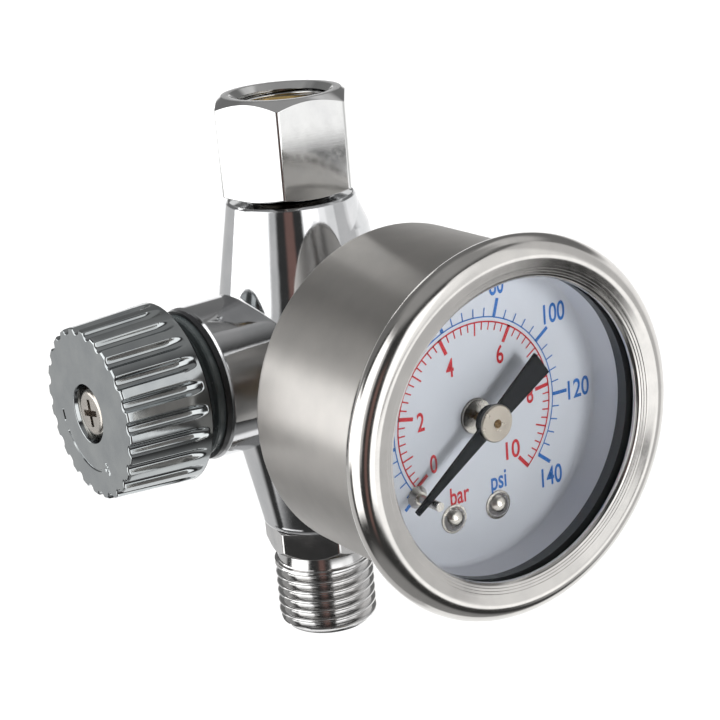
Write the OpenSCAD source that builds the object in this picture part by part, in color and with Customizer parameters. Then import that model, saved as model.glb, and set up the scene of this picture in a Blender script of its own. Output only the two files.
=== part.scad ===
// Inline air pressure regulator with a round back-connected gauge.
// Frame: millimetres, +Z up along the flow axis from the inlet thread's lower end,
// the gauge faces -Y and the adjusting knob points to -X.

/* [Flow line] */
// Height of the knob and gauge axes above the inlet thread's end
axis_h = 37.5; // [37:0.25:38]
// Radius over the crests of the male inlet thread
inlet_thread_r = 6.58; // [6.4:0.02:6.6]
// Width across flats of the inlet hexagon
inlet_hex_af = 13.3; // [13:0.1:14]
// Height of the casting's top edge
body_top_h = 58.5; // [58:0.1:59]
// Width across flats of the swivel nut
nut_af = 16; // [16:0.25:17]
// Height of the swivel nut's open end
nut_top_h = 71.7; // [71:0.1:72.5]
// Wall radius of the nut's thread
nut_thread_r = 5.72; // [5.7:0.01:5.8]

/* [Casting] */
// Radius of the upper cone at its top edge
cone_top_r = 8.25; // [8:0.05:8.4]
// Radius of the upper cone at the axis height
cone_mid_r = 11.9; // [11.5:0.1:12.5]
// Radius of the lower cone at its foot
cone_foot_r = 7.6; // [7.4:0.05:7.8]
// Radius of the side boss at its mouth
boss_r = 9.75; // [9.6:0.05:10]
// Distance from the flow axis to the side boss's mouth
boss_len = 16.9; // [16.7:0.1:17.5]
// Distance from the flow axis to the far-side valve boss's mouth
valve_boss_len = 13.5; // [13:0.1:14]

/* [Knob] */
// Number of flutes round the knob
flutes = 24; // [18:1:28]
// Distance from the flow axis to the knob's front face
knob_face = 31.5; // [31.2:0.1:32]
// Crest radius at the knob's front face
knob_front_r = 10.65; // [10.4:0.05:10.9]
// Crest radius at the knob's rear rim
knob_rear_r = 11.35; // [11.2:0.05:11.5]

/* [Gauge] */
// Outer radius of the gauge case
case_r = 20.1; // [19.8:0.1:20.4]
// Distance from the flow axis to the back of the gauge case
case_back = 20.05; // [20:0.05:20.5]
// Radius of the bezel's rolled edge, centre of the roll
roll_centre_r = 20.11; // [20:0.01:20.2]
// Radius of the roll itself
roll_r = 2.15; // [2.1:0.05:2.3]
// Free radius of the window
window_r = 17.45; // [17.2:0.05:17.6]
// Thickness of the window
glass_t = 1.6; // [1.2:0.1:1.6]

/* [Hidden] */
$fn = 96;
gap = 0.05;
eps = 0.01;
// radial clearance of a pressed or screwed-in pin
tap_clear = 0.02;
// cutters run past a face by this much
over = 1;
// turn of a round solid about its own axis, which keeps seams off the casting's planes of symmetry
seam_turn = 23;

// turns of the hexagons and flutes as they sit in the assembly
inlet_hex_turn = 14.8;
nut_turn = -6.7;
flute_turn = 3.3;

// heights along the flow axis
foot_low = 14.6;
inlet_shank_r = 5.5;
inlet_shank_top = 22;
inlet_bore_r = 3;
outlet_shank_r = 4.8;
outlet_shank_low = 52;
seal_groove_depth = 1.2;
crest_round = 5.5;

// distances along the knob axis, measured from the flow axis
sense_floor = 2.5;
piston_bore_r = 7.45;
piston_face = 6;
piston_crown_t = 2.6;
piston_len = 5.4;
piston_cup_r = 5.3;
piston_seal_at = piston_face + 1.3;
gland_thread_r = 8.05;
gland_floor = 12;
seal_t = 0.7;
gland_flange_r = 9.1;
gland_flange_t = 0.9;
gland_neck_r = 7.9;
gland_end = 26.4;
gland_wall_in = 24.8;
nut_bore_af = 10.9;
seat_nut_af = 10.8;
seat_nut_face = 18.2;
seat_nut_t = 3.6;
screw_thread_r = 2.95;
spindle_inner = 13.2;
spindle_flange_in = 23.3;
spindle_flange_out = 24.3;
spindle_flange_r = 5.1;
end_play = 0.03;
spindle_neck_r = 3.5;
spindle_end = 28.9;
drive_flat = 2.6;
knob_rear = 20.5;
knob_web = 27.2;
knob_hub_low = 26.6;
drive_low = 26.5;
drive_clear = 0.03;
knob_socket_floor = 29;
knob_recess_floor = 29.7;
knob_cavity_r = 8.4;
knob_screw_r = 1.5;

// valve side, measured towards +X
seat_r = 3.2;
seat_bore_r = 1.6;
seat_lip = 1.4;
poppet_face = 1.45;
poppet_head_r = 3;
poppet_head_len = 2.7;
poppet_stem_r = 0.9;
poppet_pocket_r = 2.6;
poppet_pocket = 0.7;
chamber_r = 4.2;
plug_face = 8.4;
plug_thread_r = 5.15;

// distances along the gauge axis, measured from the flow axis
gauge_boss_r = 8;
gauge_boss_len = 15.2;
stem_r = 4.86;
stem_inner = 10.4;
stem_seal_t = 0.8;
case_wall = 0.5;
case_back_t = 0.8;
block_top = 29.3;
arbor_back = block_top + 0.1;
plate_t = 0.8;
plate_gap = 2.9;
plate_r = 8.6;
plate_x = 1.9;
plate_y = -1.2;
dial_face = 35.17;
dial_t = 0.5;
dial_r = 18;
dial_rim = 39.6;
glass_in = 41.3;
roll_centre = 42.19;
roll_wall = 0.6;
bushing_r = 2.05;
arbor_r = 0.5;
hub_bush_r = 0.88;
arbor_hole_r = arbor_r + gap;
post_end_r = 0.5;
needle_back = 38.1;
needle_t = 0.4;
hub_front = 39.2;
stop_clock = 230.4;
stop_dist = 11.6;
stop_r = 0.55;
needle_root_w = 1.9;
needle_tip_w = 0.6;
needle_len = 13.8;
needle_w_at_stop = needle_root_w + (needle_tip_w - needle_root_w) * stop_dist / needle_len;
needle_clock = stop_clock + asin((needle_w_at_stop / 2 + stop_r + gap) / stop_dist);

// movement, in the plane of the dial
gear_module = 0.24;
dedendum = 1.2 * gear_module;
addendum = 0.8 * gear_module;
pinion_teeth = 10;
sector_teeth = 50;
pinion_pitch_r = gear_module * pinion_teeth / 2;
sector_pitch_r = gear_module * sector_teeth / 2;
sector_dir = -3;
sector_x = (pinion_pitch_r + sector_pitch_r) * cos(sector_dir);
sector_y = (pinion_pitch_r + sector_pitch_r) * sin(sector_dir);
tail_len = 4.2;
link_len = 6;
link_dir = 116;
tip_x = sector_x + tail_len + link_len * cos(link_dir);
tip_y = sector_y + link_len * sin(link_dir);
tube_r = 13;
tube_half_w = 2;
tube_half_t = 0.9;
tube_z = 25.5;
tube_start = 40;
tube_end = 245;
sector_z = 30.9;
sector_t = 0.7;
link_pin_r = 0.4;
link_eye_r = 0.85;
plates_front = block_top + 2 * plate_t + plate_gap;

// spring sizes: mean radius, wire radius, turns, points round half the wire
range_spring_r = 4.2;
range_wire_r = 0.55;
range_turns = 4.6;
range_wire_points = 8;
small_spring_r = 2.3;
small_wire_r = 0.3;
small_turns = 4;
small_wire_points = 6;
spring_slices = 16;

chrome = [0.8, 0.81, 0.83];
brass = [0.78, 0.63, 0.35];
steel = [0.66, 0.66, 0.64];
black = [0.07, 0.07, 0.08];
red = [0.7, 0.08, 0.08];
white = [0.9, 0.91, 0.93];
clear = [0.85, 0.92, 0.95, 0.35];

// ---------- helpers ----------

// +Z of the children points out of the side boss
module knob_axis() {
    translate([0, 0, axis_h])
        rotate([0, -90, 0])
            children();
}

// +Z of the children points into the far-side valve boss
module valve_axis() {
    translate([0, 0, axis_h])
        rotate([0, 90, 0])
            children();
}

// +Z of the children points at the viewer of the dial, +Y of the children is up
module gauge_axis() {
    translate([0, 0, axis_h])
        rotate([90, 0, 0])
            children();
}

// solid of revolution between two heights
module rod(r, low, high) {
    translate([0, 0, low])
        cylinder(r = r, h = high - low);
}

module cone(r_low, r_high, low, high) {
    translate([0, 0, low])
        cylinder(r1 = r_low, r2 = r_high, h = high - low);
}

module ring(r_out, r_in, low, high) {
    difference() {
        rod(r_out, low, high);
        rod(r_in, low - 1, high + 1);
    }
}

module o_ring(mean_r, wire_r, height) {
    translate([0, 0, height])
        rotate_extrude()
            translate([mean_r, 0])
                circle(r = wire_r, $fn = 32);
}

// straight hexagonal bar
module hex_bar(af, low, high, turn = 0) {
    translate([0, 0, low])
        rotate(turn)
            cylinder(r = af / sqrt(3), h = high - low, $fn = 6);
}

// disc with a rounded front edge, for screw heads
module pan_head(r, t, round_r) {
    rotate_extrude()
        union() {
            square([r, t - round_r]);
            square([r - round_r, t]);
            translate([r - round_r, t - round_r])
                circle(r = round_r, $fn = 32);
        }
}

module slot_cut(len, w, depth) {
    translate([-len / 2, -w / 2, -depth])
        cube([len, w, depth + 1]);
}

// cross-section of a round-wire helix cut square to its axis
function helix_half(mean_r, wire_r, pitch, a) =
    sqrt(max(0, wire_r * wire_r - pow(pitch * a / 360, 2)));

module helix(mean_r, wire_r, turns, len, points) {
    pitch = len / turns;
    reach = wire_r / pitch * 360;
    angles = [for (i = [0 : points]) -reach * cos(180 * i / points)];
    outer = [for (a = angles) (mean_r + helix_half(mean_r, wire_r, pitch, a)) * [cos(a), sin(a)]];
    inner = [for (i = [points - 1 : -1 : 1])
        (mean_r - helix_half(mean_r, wire_r, pitch, angles[i])) * [cos(angles[i]), sin(angles[i])]];
    linear_extrude(height = len, twist = -360 * turns, slices = ceil(turns * spring_slices),
        segments = 2 * points, convexity = 8)
        polygon(concat(outer, inner));
}

// toothed disc or sector with plain trapezoid teeth
module gear_2d(teeth, first, last) {
    pitch_r = gear_module * teeth / 2;
    base_r = pitch_r - dedendum - 2 * gap;
    crest_r = pitch_r + addendum;
    base_half = 0.62 * gear_module;
    crest_half = 0.28 * gear_module;
    for (i = [first : last])
        rotate(i * 360 / teeth)
            polygon([[base_r, -base_half], [crest_r, -crest_half], [crest_r, crest_half],
                [base_r, base_half]]);
}

// ---------- casting and flow line ----------

// boss with a chamfered mouth
module boss(root_r, mouth_r, root, len) {
    edge = 0.3;
    cone(root_r, mouth_r, root, len - edge);
    cone(mouth_r, mouth_r - edge, len - edge, len);
}

// rounding where two cones meet base to base at the axis height: its lower end, upper end and centre
function crest(mid_r, low_r, low_h, high_r, high_h) =
    let (lean_low = atan((mid_r - low_r) / (axis_h - low_h)),
        lean_high = atan((mid_r - high_r) / (high_h - axis_h)),
        reach = crest_round * tan((lean_low + lean_high) / 2),
        down = [mid_r - reach * sin(lean_low), axis_h - reach * cos(lean_low)],
        up = [mid_r - reach * sin(lean_high), axis_h + reach * cos(lean_high)])
    [down, up, up - crest_round * [cos(lean_high), sin(lean_high)]];

module body_shape() {
    foot_round = 1.1;
    edge = 0.3;
    boss_root_r = 10.1;
    valve_boss_r = 8.8;
    shoulder_x = 1.2;
    shoulder_r = 8.6;
    shoulder_h = 54.3;
    shoulder_inset = 0.3;
    shoulder_low_r = 7.8;
    shoulder_low_h = 24;
    main_crest = crest(cone_mid_r, cone_foot_r, foot_low + foot_round, cone_top_r, body_top_h - edge);
    shoulder_crest = crest(cone_mid_r - shoulder_inset, shoulder_low_r, shoulder_low_h,
        shoulder_r, shoulder_h);
    // two cones base to base, with a rounded foot and a chamfered top
    rotate(seam_turn)
        rotate_extrude()
            union() {
                polygon([[0, foot_low], [cone_foot_r - foot_round, foot_low],
                    [cone_foot_r, foot_low + foot_round], main_crest[0], main_crest[1],
                    [cone_top_r, body_top_h - edge], [cone_top_r - edge, body_top_h], [0, body_top_h]]);
                translate([cone_foot_r - foot_round, foot_low + foot_round])
                    circle(r = foot_round);
                translate(main_crest[2])
                    circle(r = crest_round);
            }
    // fuller shoulder towards the valve side
    translate([shoulder_x, 0, 0])
        rotate(5 * seam_turn)
            rotate_extrude()
                union() {
                    polygon([[0, shoulder_low_h], [shoulder_low_r, shoulder_low_h],
                        shoulder_crest[0], shoulder_crest[1], [shoulder_r, shoulder_h],
                        [cone_top_r - shoulder_x, body_top_h - edge], [0, body_top_h - edge]]);
                    translate(shoulder_crest[2])
                        circle(r = crest_round);
                }
    knob_axis()
        rotate(2 * seam_turn)
            boss(boss_root_r, boss_r, 1, boss_len);
    valve_axis()
        rotate(3 * seam_turn)
            boss(valve_boss_r, valve_boss_r, 2, valve_boss_len);
    gauge_axis()
        rotate(4 * seam_turn)
            boss(gauge_boss_r, gauge_boss_r, 3, gauge_boss_len);
}

module body_passages() {
    side_hole_x = 3.2;
    side_hole_r = 2.2;
    outlet_hole_x = -3;
    outlet_hole_r = 1.8;
    gauge_hole_x = -3.5;
    gauge_hole_r = 1.1;
    seal_groove_r = 5.95;
    inlet_way_top = 26;
    side_hole_low = 23;
    outlet_hole_low = 42.2;
    sense_hole_r = 1.8;
    seat_floor = -1;
    chamber_low = 1.2;
    well = 1.5;
    stem_well = 0.6;
    // inlet nipple's seat and the way to the valve chamber
    rotate(2 * seam_turn) {
        rod(inlet_shank_r + gap, 0, inlet_shank_top);
        rod(inlet_bore_r, inlet_shank_top - over, inlet_way_top);
    }
    translate([side_hole_x, 0, 0])
        rotate(2 * seam_turn)
            rod(side_hole_r, side_hole_low, axis_h - side_hole_r);
    // outlet nipple's seat and the way from the sensing chamber
    rotate(2 * seam_turn) {
        rod(outlet_shank_r + gap, outlet_shank_low - well, body_top_h + over);
        rod(seal_groove_r, body_top_h - seal_groove_depth, body_top_h + over);
    }
    translate([outlet_hole_x, 0, 0])
        rotate(2 * seam_turn)
            rod(outlet_hole_r, outlet_hole_low, outlet_shank_low - over);
    knob_axis()
        rotate(seam_turn) {
            rod(piston_bore_r, sense_floor, gland_floor + over);
            rod(gland_thread_r, gland_floor, boss_len + over);
            rod(sense_hole_r, 0, sense_floor + over);
        }
    valve_axis()
        rotate(seam_turn) {
            rod(seat_r + eps, seat_floor, chamber_low + over);
            rod(chamber_r, chamber_low, plug_face + over);
            rod(plug_thread_r + gap, plug_face - well, valve_boss_len + over);
        }
    gauge_axis() {
        rotate(seam_turn)
            rod(stem_r + gap, stem_inner - stem_well, gauge_boss_len + over);
        translate([gauge_hole_x, 0, 0])
            rotate(seam_turn)
                rod(gauge_hole_r, piston_face, stem_inner);
    }
}

module body() {
    color(chrome)
        difference() {
            body_shape();
            body_passages();
        }
}

module inlet_nipple() {
    hex_low = 11;
    hex_chamfer_rise = 4;
    corner_cut = 0.12;
    neck_r = 6.15;
    thread_top = 9.3;
    run_out = 0.4;
    mouth = 1.4;
    color(chrome)
        difference() {
            union() {
                rod(inlet_thread_r, 0, thread_top - run_out);
                cone(inlet_thread_r, neck_r, thread_top - run_out, thread_top);
                rod(neck_r, thread_top, hex_low + over);
                intersection() {
                    hex_bar(inlet_hex_af, hex_low, foot_low, inlet_hex_turn);
                    cone(inlet_hex_af / 2, inlet_hex_af / 2 + hex_chamfer_rise, hex_low, foot_low);
                    rod(inlet_hex_af / sqrt(3) - corner_cut, hex_low, foot_low);
                }
                rod(inlet_shank_r, hex_low + over, inlet_shank_top);
            }
            rod(inlet_bore_r, -over, inlet_shank_top + over);
            cone(inlet_bore_r + mouth, inlet_bore_r, -eps, mouth);
        }
}

nut_low = 59.2;
ring_low = 60.65;
ring_high = 61.55;
nipple_neck_r = 4.3;
nipple_shoulder_r = 4.8;

module outlet_nipple() {
    head_low = 66.5;
    head_r = 5.2;
    cone_low = 67.4;
    tip_h = 70.45;
    tip_r = 3.45;
    bore_r = 2.6;
    mouth = 0.4;
    color(brass)
        difference() {
            union() {
                rod(outlet_shank_r, outlet_shank_low, body_top_h);
                rod(nipple_shoulder_r, body_top_h - seal_groove_depth, ring_low - gap);
                rod(nipple_neck_r, ring_low - gap, head_low);
                rod(head_r, head_low, cone_low);
                cone(head_r, tip_r, cone_low, tip_h);
            }
            rod(bore_r, outlet_shank_low - over, tip_h + over);
            cone(bore_r, bore_r + mouth, tip_h - mouth, tip_h + eps);
        }
}

module outlet_seal() {
    wire_r = 0.54;
    color(black)
        o_ring(nipple_shoulder_r + wire_r + gap, wire_r, body_top_h - seal_groove_depth / 2);
}

// snap ring with a gap in its rim
module nut_ring() {
    slit = 1.6;
    outer_r = 5.5;
    color(steel)
        difference() {
            ring(outer_r, nipple_neck_r + 2 * gap, ring_low, ring_high);
            translate([0, -slit / 2, ring_low - over])
                cube([outer_r + over, slit, ring_high - ring_low + 2 * over]);
        }
}

module swivel_nut() {
    corner_cut = 0.22;
    top_r = 7.95;
    low_r = 7.85;
    chamfer_h = 10;
    slope = 1.15;
    groove_r = 5.6;
    mouth_r = 6.5;
    color(chrome)
        difference() {
            intersection() {
                hex_bar(nut_af, nut_low, nut_top_h, nut_turn);
                rod(nut_af / sqrt(3) - corner_cut, nut_low, nut_top_h);
                union() {
                    cone(top_r + chamfer_h / slope, top_r, nut_top_h - chamfer_h, nut_top_h);
                    rod(nut_af, nut_low, nut_top_h - chamfer_h);
                }
                union() {
                    cone(low_r, low_r + chamfer_h / slope, nut_low, nut_low + chamfer_h);
                    rod(nut_af, nut_low + chamfer_h, nut_top_h);
                }
            }
            rod(nipple_shoulder_r + 2 * gap, nut_low - over, ring_low);
            rod(groove_r, ring_low - gap, ring_high + gap);
            rod(nut_thread_r, ring_high, nut_top_h + over);
            cone(nut_thread_r, mouth_r, nut_top_h - (mouth_r - nut_thread_r), nut_top_h + eps);
        }
}

// ---------- valve ----------

module valve_seat() {
    half_t = 1;
    lip_w = 0.6;
    color(brass)
        valve_axis()
            difference() {
                union() {
                    rod(seat_r, -half_t, half_t);
                    rod(seat_bore_r + lip_w, 0, seat_lip);
                }
                rod(seat_bore_r, -half_t - over, seat_lip + over);
            }
}

module poppet() {
    guide_r = 1.6;
    guide_len = 1.2;
    head_high = poppet_face + poppet_head_len;
    color(brass)
        valve_axis() {
            rod(poppet_stem_r, -piston_face + gap, poppet_face + over);
            difference() {
                rod(poppet_head_r, poppet_face, head_high);
                rod(poppet_pocket_r, poppet_face - over, poppet_face + poppet_pocket);
            }
            rod(guide_r, head_high - over, head_high + guide_len);
        }
}

module poppet_seal() {
    proud = 0.02;
    color(black)
        valve_axis()
            ring(poppet_pocket_r - tap_clear, poppet_stem_r + tap_clear,
                poppet_face - proud, poppet_face + poppet_pocket);
}

module poppet_spring() {
    low = poppet_face + poppet_head_len;
    color(steel)
        valve_axis()
            translate([0, 0, low])
                helix(small_spring_r, small_wire_r, small_turns, plug_face - low, small_wire_points);
}

module valve_plug() {
    head_r = 7;
    head_t = 1.8;
    head_round = 0.4;
    key_af = 5;
    key_depth = 2.8;
    head_in = valve_boss_len + seal_t;
    color(chrome)
        valve_axis()
            difference() {
                union() {
                    rod(plug_thread_r, plug_face, head_in);
                    translate([0, 0, head_in])
                        pan_head(head_r, head_t, head_round);
                }
                hex_bar(key_af, head_in + head_t - key_depth, head_in + head_t + over);
            }
}

module plug_seal() {
    outer_r = 6.8;
    color(black)
        valve_axis()
            ring(outer_r, plug_thread_r + gap, valve_boss_len, valve_boss_len + seal_t);
}

// ---------- sensing piston and adjustment ----------

module piston() {
    groove_half = 0.65;
    groove_r = 6.15;
    color(brass)
        knob_axis()
            difference() {
                rod(piston_bore_r - gap, piston_face, piston_face + piston_len);
                ring(piston_bore_r + over, groove_r,
                    piston_seal_at - groove_half, piston_seal_at + groove_half);
                rod(piston_cup_r, piston_face + piston_crown_t, piston_face + piston_len + over);
            }
}

module piston_seal() {
    mean_r = 6.8;
    wire_r = 0.6;
    color(black)
        knob_axis()
            o_ring(mean_r, wire_r, piston_seal_at);
}

module range_spring() {
    low = piston_face + piston_crown_t;
    color(steel)
        knob_axis()
            translate([0, 0, low])
                helix(range_spring_r, range_wire_r, range_turns, seat_nut_face - low, range_wire_points);
}

module travel_nut() {
    color(brass)
        knob_axis()
            difference() {
                hex_bar(seat_nut_af, seat_nut_face, seat_nut_face + seat_nut_t);
                rod(screw_thread_r + gap, 0, knob_face);
            }
}

module spindle() {
    tap_floor = 22;
    lead_in = 0.5;
    color(steel)
        knob_axis()
            difference() {
                union() {
                    cone(screw_thread_r - lead_in, screw_thread_r, spindle_inner, spindle_inner + lead_in);
                    rod(screw_thread_r, spindle_inner + lead_in, spindle_flange_in);
                    rod(spindle_flange_r, spindle_flange_in, spindle_flange_out);
                    rod(spindle_neck_r, spindle_flange_out, drive_low);
                    intersection() {
                        rod(spindle_neck_r, drive_low, spindle_end);
                        translate([-drive_flat, -spindle_neck_r, drive_low])
                            cube([2 * drive_flat, 2 * spindle_neck_r, spindle_end]);
                    }
                }
                rod(knob_screw_r + tap_clear, tap_floor, spindle_end + over);
            }
}

module thrust_washer() {
    color(white)
        knob_axis()
            ring(spindle_flange_r, spindle_neck_r + gap, spindle_flange_out, gland_wall_in - end_play);
}

module bonnet() {
    flange_low = boss_len + seal_t;
    flange_high = flange_low + gland_flange_t;
    edge = 0.2;
    end_chamfer = 0.5;
    floor_clear = 0.2;
    hex_end = 22.8;
    color(black)
        knob_axis()
            difference() {
                union() {
                    rod(gland_thread_r - gap, gland_floor + floor_clear, flange_low);
                    rod(gland_flange_r, flange_low, flange_high - edge);
                    cone(gland_flange_r, gland_flange_r - edge, flange_high - edge, flange_high);
                    rod(gland_neck_r, flange_low, gland_end - end_chamfer);
                    cone(gland_neck_r, gland_neck_r - end_chamfer, gland_end - end_chamfer, gland_end);
                }
                hex_bar(nut_bore_af, gland_floor - over, hex_end);
                rod(spindle_flange_r + 2 * gap, hex_end - eps, gland_wall_in);
                rod(spindle_neck_r + gap, gland_wall_in - over, gland_end + over);
            }
}

module bonnet_seal() {
    outer_r = 9.5;
    color(black)
        knob_axis()
            ring(outer_r, gland_thread_r, boss_len, boss_len + seal_t);
}

module knob_grooves() {
    cutter_r = 0.8;
    depth = 0.6;
    run_out = 1.4;
    // the groove's floor runs out of the conical surface just before the smooth rear rim
    rise = depth + gap;
    reach = knob_face - knob_rear - run_out;
    lean = atan((knob_rear_r - knob_front_r + rise) / reach);
    for (i = [0 : flutes - 1])
        rotate(360 / flutes * i + flute_turn)
            translate([knob_front_r + cutter_r - depth, 0, knob_face + over])
                rotate([0, 180 + lean, 0])
                    cylinder(r = cutter_r, h = reach + over, $fn = 24);
}

module knob() {
    bevel = 0.3;
    rim = 0.35;
    recess_r = 3.75;
    recess_floor_r = 3.3;
    hub_r = 5.6;
    socket_r = spindle_neck_r + drive_clear;
    socket_flat = drive_flat + drive_clear;
    color(chrome)
        knob_axis()
            difference() {
                union() {
                    cone(knob_rear_r - rim, knob_rear_r, knob_rear, knob_rear + rim);
                    cone(knob_rear_r, knob_front_r, knob_rear + rim, knob_face - bevel);
                    cone(knob_front_r, knob_front_r - bevel, knob_face - bevel, knob_face);
                }
                knob_grooves();
                difference() {
                    rod(knob_cavity_r, knob_rear - over, knob_web);
                    rod(hub_r, knob_hub_low, knob_web + over);
                }
                intersection() {
                    rod(socket_r, knob_hub_low - over, knob_socket_floor);
                    translate([-socket_flat, -socket_r - over, knob_hub_low - over])
                        cube([2 * socket_flat, 2 * (socket_r + over), knob_face]);
                }
                rod(knob_screw_r + 2 * gap, knob_web, knob_face);
                cone(recess_floor_r, recess_r, knob_recess_floor, knob_face + eps);
            }
}

module knob_screw() {
    head_r = 2.95;
    head_t = 1.5;
    head_round = 0.6;
    shank_low = 23;
    cross_len = 3.4;
    cross_w = 0.75;
    cross_depth = 1;
    cross_turn = 10;
    color(steel)
        knob_axis()
            difference() {
                union() {
                    rod(knob_screw_r, shank_low, knob_recess_floor);
                    translate([0, 0, knob_recess_floor])
                        pan_head(head_r, head_t, head_round);
                }
                translate([0, 0, knob_recess_floor + head_t])
                    for (a = [0, 90])
                        rotate(cross_turn + a)
                            slot_cut(cross_len, cross_w, cross_depth);
            }
}

// ---------- gauge outside ----------

block_x = -5.9;
block_w = 10.1;
block_y = -15;
block_h = 19.5;
dial_screw_at = [[-4.1, -11.5], [2.4, -11.7]];
case_screw_at = [[-3.4, -8.9], [1.8, -8.9]];
plate_screw_at = [[-3.2, -6.2], [2.6, -6.6]];
post_at = [[-4.6, 2.8], [8, -5.8]];
dial_screw_r = 0.7;
case_screw_r = 0.75;
plate_screw_r = 0.6;
dial_screw_len = 3.6;
case_screw_len = 4.6;
plate_screw_len = 3;
hole_spare = 0.4;

module gauge_socket() {
    hex_low = gauge_boss_len + stem_seal_t;
    hex_af = 12;
    hex_high = 19.2;
    shoulder_r = 5.6;
    neck_r = 4.2;
    corner_cut = 0.15;
    bore_r = 1;
    side_bore_r = 0.8;
    side_bore_len = 8;
    down_bore_len = 10.8;
    bore_drop = 10;
    pillar_r = 1.6;
    block_low = case_back + case_back_t;
    color(brass)
        gauge_axis()
            difference() {
                union() {
                    rod(stem_r, stem_inner, hex_low);
                    intersection() {
                        hex_bar(hex_af, hex_low, hex_high);
                        rod(hex_af / sqrt(3) - corner_cut, hex_low, hex_high);
                    }
                    rod(shoulder_r, hex_high, case_back);
                    rod(neck_r, case_back, block_low + over);
                    translate([block_x, block_y, block_low])
                        cube([block_w, block_h, block_top - block_low]);
                    for (p = dial_screw_at)
                        translate(p)
                            rod(pillar_r, block_top - over, dial_face - dial_t);
                }
                // air way: up the stem, down the block, then out to the tube's fixed end
                rod(bore_r, stem_inner - over, tube_z);
                translate([0, 0, tube_z])
                    rotate([90, 0, 0])
                        cylinder(r = side_bore_r, h = down_bore_len);
                translate([0, -bore_drop, tube_z])
                    rotate([0, -90, 0])
                        cylinder(r = side_bore_r, h = side_bore_len);
                for (p = dial_screw_at)
                    translate(p)
                        rod(dial_screw_r + tap_clear, dial_face - dial_screw_len - hole_spare, dial_face);
                for (p = case_screw_at)
                    translate(p)
                        rod(case_screw_r + tap_clear, case_back, case_back + case_screw_len + hole_spare);
                for (p = plate_screw_at)
                    translate(p)
                        rod(plate_screw_r + tap_clear,
                            block_top - plate_screw_len - hole_spare, block_top + over);
            }
}

module stem_seal() {
    outer_r = 6.2;
    color(red)
        gauge_axis()
            ring(outer_r, stem_r + gap, gauge_boss_len, gauge_boss_len + stem_seal_t);
}

module gauge_case() {
    edge = 0.7;
    front = 41.35;
    flange_r = 20.95;
    flange_t = 0.35;
    inner_r = case_r - case_wall;
    stem_hole_r = 4.25;
    color(steel)
        gauge_axis()
            difference() {
                union() {
                    rod(case_r - edge, case_back, case_back + edge);
                    o_ring(case_r - edge, edge, case_back + edge);
                    rod(case_r, case_back + edge, front);
                    rod(flange_r, front - flange_t, front);
                }
                rod(inner_r, case_back + case_back_t, front + over);
                rod(stem_hole_r, case_back - over, case_back + case_back_t + over);
                for (p = case_screw_at)
                    translate(p)
                        rod(case_screw_r + gap, case_back - over, case_back + case_back_t + over);
            }
}

module gauge_bezel() {
    lip_low = glass_in + glass_t;
    lip_front = 43.5;
    lip_slope_w = 0.5;
    lip_slope_h = 0.35;
    lip_overlap = 0.25;
    inner_cut_r = 19.35;
    cut_low = 39;
    color(chrome)
        gauge_axis()
            difference() {
                union() {
                    rotate_extrude()
                        translate([roll_centre_r, roll_centre])
                            circle(r = roll_r);
                    rotate(seam_turn)
                        rotate_extrude()
                            polygon([[window_r, lip_low], [window_r, lip_front],
                                [window_r + lip_slope_w, lip_front + lip_slope_h],
                                [roll_centre_r - lip_overlap, roll_centre + roll_r - roll_wall / 3],
                                [roll_centre_r - lip_overlap, lip_low]]);
                }
                rotate(2 * seam_turn)
                    rotate_extrude()
                        translate([roll_centre_r, roll_centre])
                            circle(r = roll_r - roll_wall);
                rotate(3 * seam_turn)
                    rod(inner_cut_r, cut_low, lip_low);
                rotate(4 * seam_turn)
                    rod(case_r + gap, cut_low, roll_centre - gap);
            }
}

module window_gasket() {
    outer_r = 19.3;
    lip_r = window_r + 0.15;
    foot_r = window_r + 0.4;
    foot_t = 0.5;
    color(black)
        gauge_axis() {
            ring(outer_r, lip_r, dial_rim + foot_t, glass_in);
            ring(outer_r, foot_r, dial_rim, dial_rim + foot_t);
        }
}

module gauge_glass() {
    outer_r = 19.2;
    color(clear)
        gauge_axis()
            rod(outer_r, glass_in, glass_in + glass_t);
}

module dial() {
    wall_t = 0.35;
    color(white)
        gauge_axis()
            difference() {
                rod(dial_r + wall_t, dial_face - dial_t, dial_rim);
                rod(dial_r, dial_face, dial_rim + over);
                rod(bushing_r + gap, dial_face - over, dial_face + over);
                for (p = dial_screw_at)
                    translate(p)
                        rod(dial_screw_r + 2 * gap, dial_face - over, dial_face + over);
                rotate(90 - stop_clock)
                    translate([stop_dist, 0, 0])
                        rod(stop_r + tap_clear, dial_face - over, dial_face + over);
            }
}

module dial_screws() {
    washer_r = 1.75;
    washer_t = 0.2;
    head_r = 1.5;
    head_h = 0.95;
    sphere_r = (head_r * head_r + head_h * head_h) / (2 * head_h);
    color(steel)
        gauge_axis()
            for (p = dial_screw_at)
                translate(p) {
                    rod(dial_screw_r, dial_face - dial_screw_len, dial_face + washer_t);
                    rod(washer_r, dial_face, dial_face + washer_t);
                    intersection() {
                        translate([0, 0, dial_face + washer_t + head_h - sphere_r])
                            sphere(r = sphere_r);
                        rod(head_r, dial_face + washer_t, dial_face + washer_t + head_h);
                    }
                }
}

module stop_pin() {
    base_r = 1.35;
    base_h = 0.75;
    shoulder = 0.25;
    pin_end = 39.4;
    color(steel)
        gauge_axis()
            rotate(90 - stop_clock)
                translate([stop_dist, 0, 0]) {
                    cone(base_r, stop_r + shoulder, dial_face, dial_face + base_h);
                    rod(stop_r, dial_face - dial_t, pin_end);
                }
}

// ---------- pointer and movement ----------

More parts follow.
